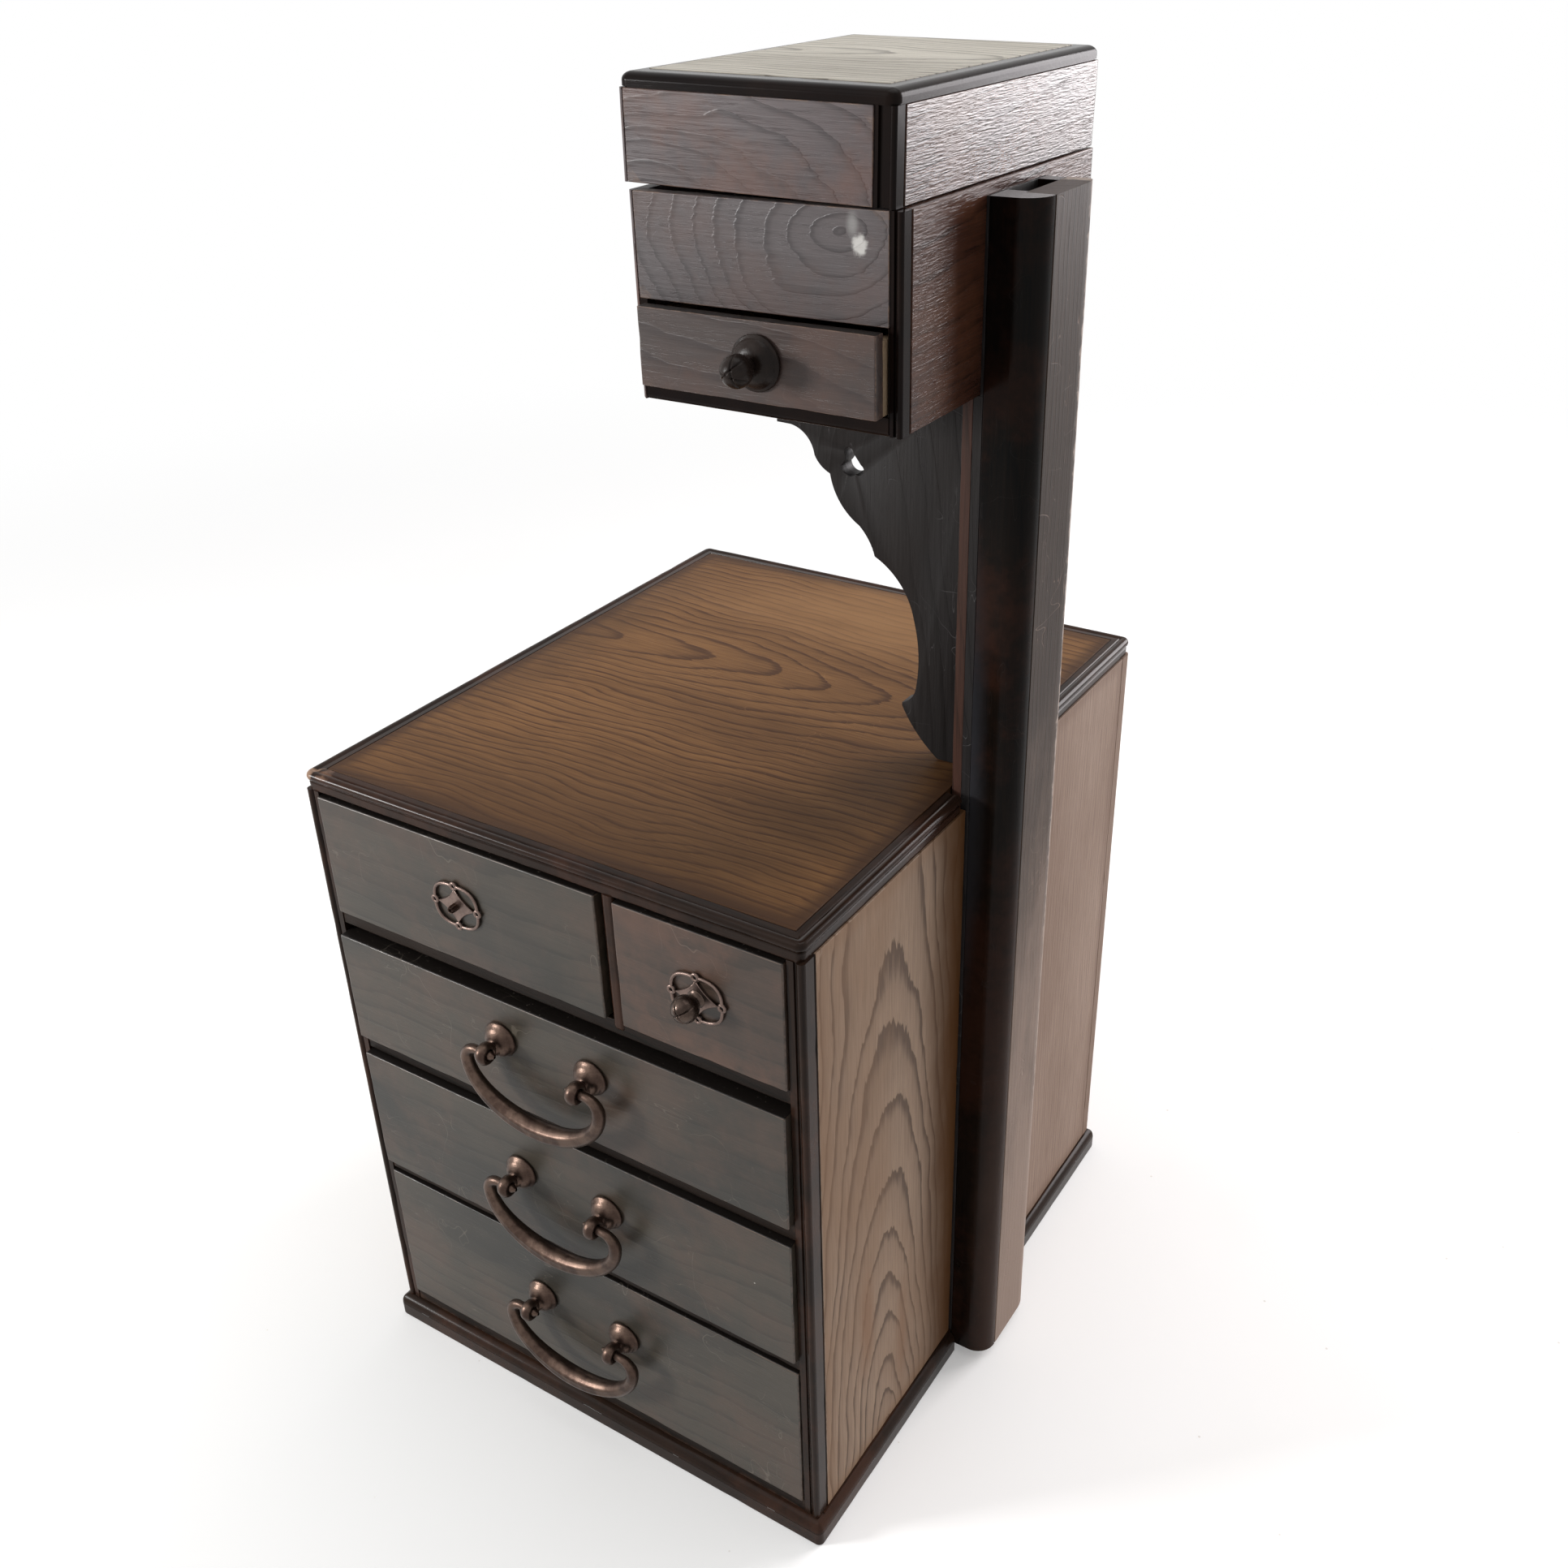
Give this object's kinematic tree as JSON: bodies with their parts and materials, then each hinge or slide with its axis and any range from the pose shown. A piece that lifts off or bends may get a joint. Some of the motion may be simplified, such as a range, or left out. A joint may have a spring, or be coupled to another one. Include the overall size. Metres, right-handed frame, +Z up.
{
  "type": "sewing box",
  "caption": "Wooden sewing box: a chest of drawers, a hollow ruler post in its side, and a small lidded box with a drawer carried above on a scrolled bracket",
  "frame": {"origin": "Middle of the base board's underside, on the surface that the box stands on.", "axes": "+X to the right of a person facing the drawers, +Y to the back, +Z up."},
  "size_m": [0.2411, 0.2794, 0.5204],
  "materials": {
    "dark_wood": "dark satin stain, worn edges",
    "lacquered_wood": "dark glossy lacquer",
    "worn_side_wood": "worn brown stain with grain",
    "raw_wood": "bare wood inside",
    "bronze_fittings": "reddish brown patina"
  },
  "bodies": {
    "chest": {"base_board": "dark_wood", "bottom_board": "raw_wood", "bottom_rail": "dark_wood", "left_side": "worn_side_wood", "right_inner_wall": "raw_wood", "right_front_panel": "worn_side_wood", "right_rear_panel": "worn_side_wood", "back_panel": "worn_side_wood", "front_posts": "dark_wood", "rear_posts": "worn_side_wood", "drawer_rails": "dark_wood", "upper_shelf": "raw_wood", "drawer_runners": "raw_wood", "drawer_divider": "dark_wood", "top_panel": "worn_side_wood", "top_mouldings": "dark_wood"},
    "ruler_post": {"post_inner_board": "lacquered_wood", "post_front_stile": "lacquered_wood", "post_outer_board": "lacquered_wood", "post_back_stile": "lacquered_wood", "ruler_stop": "raw_wood", "bracket": "lacquered_wood", "box_left_side": "lacquered_wood", "box_right_side": "lacquered_wood", "box_floor": "lacquered_wood", "box_back": "lacquered_wood", "box_front_panel": "lacquered_wood", "box_shelf": "raw_wood"},
    "lid": {"lid_top": "lacquered_wood", "lid_front": "lacquered_wood", "lid_back": "lacquered_wood", "lid_left_side": "lacquered_wood", "lid_right_side": "lacquered_wood"},
    "upper_drawer": {"upper_drawer_front": "dark_wood", "upper_drawer_tray": "raw_wood", "upper_rosette": "bronze_fittings", "upper_knob": "bronze_fittings"},
    "left_drawer": {"left_drawer_front": "dark_wood", "left_drawer_tray": "raw_wood", "left_plate": "bronze_fittings", "screw_stub": "bronze_fittings"},
    "right_drawer": {"right_drawer_front": "dark_wood", "right_drawer_tray": "raw_wood", "right_plate": "bronze_fittings", "ball_knob": "bronze_fittings"},
    "second_drawer": {"second_drawer_front": "dark_wood", "second_drawer_walls": "raw_wood", "second_drawer_floor": "raw_wood", "second_handle_mounts": "bronze_fittings"},
    "second_bail": {"second_bail": "bronze_fittings"},
    "third_drawer": {"third_drawer_front": "dark_wood", "third_drawer_walls": "raw_wood", "third_drawer_floor": "raw_wood", "third_handle_mounts": "bronze_fittings"},
    "third_bail": {"third_bail": "bronze_fittings"},
    "deep_drawer": {"deep_drawer_front": "dark_wood", "deep_drawer_walls": "raw_wood", "deep_drawer_floor": "raw_wood", "deep_handle_mounts": "bronze_fittings"},
    "deep_bail": {"deep_bail": "bronze_fittings"}
  },
  "joints": [
    {"name": "post_lift", "type": "slide", "parent": "chest", "child": "ruler_post", "axis": [0, 0, 1], "range_m": [0, 0.2]},
    {"name": "lid_lift", "type": "slide", "parent": "ruler_post", "child": "lid", "axis": [0, 0, 1], "range_m": [0, 0.06]},
    {"name": "upper_drawer_slide", "type": "slide", "parent": "ruler_post", "child": "upper_drawer", "axis": [0, -1, 0], "range_m": [0, 0.09]},
    {"name": "left_drawer_slide", "type": "slide", "parent": "chest", "child": "left_drawer", "axis": [0, -1, 0], "range_m": [0, 0.19]},
    {"name": "right_drawer_slide", "type": "slide", "parent": "chest", "child": "right_drawer", "axis": [0, -1, 0], "range_m": [0, 0.19]},
    {"name": "second_drawer_slide", "type": "slide", "parent": "chest", "child": "second_drawer", "axis": [0, -1, 0], "range_m": [0, 0.19]},
    {"name": "third_drawer_slide", "type": "slide", "parent": "chest", "child": "third_drawer", "axis": [0, -1, 0], "range_m": [0, 0.19]},
    {"name": "deep_drawer_slide", "type": "slide", "parent": "chest", "child": "deep_drawer", "axis": [0, -1, 0], "range_m": [0, 0.19]},
    {"name": "second_bail_swing", "type": "hinge", "parent": "second_drawer", "child": "second_bail", "pos_m": [-0.001, -0.1427, 0.196], "axis": [-1, 0, 0], "range_deg": [0, 110]},
    {"name": "third_bail_swing", "type": "hinge", "parent": "third_drawer", "child": "third_bail", "pos_m": [-0.001, -0.142, 0.13], "axis": [-1, 0, 0], "range_deg": [0, 110]},
    {"name": "deep_bail_swing", "type": "hinge", "parent": "deep_drawer", "child": "deep_bail", "pos_m": [-0.001, -0.1402, 0.06005], "axis": [-1, 0, 0], "range_deg": [0, 110]}
  ]
}
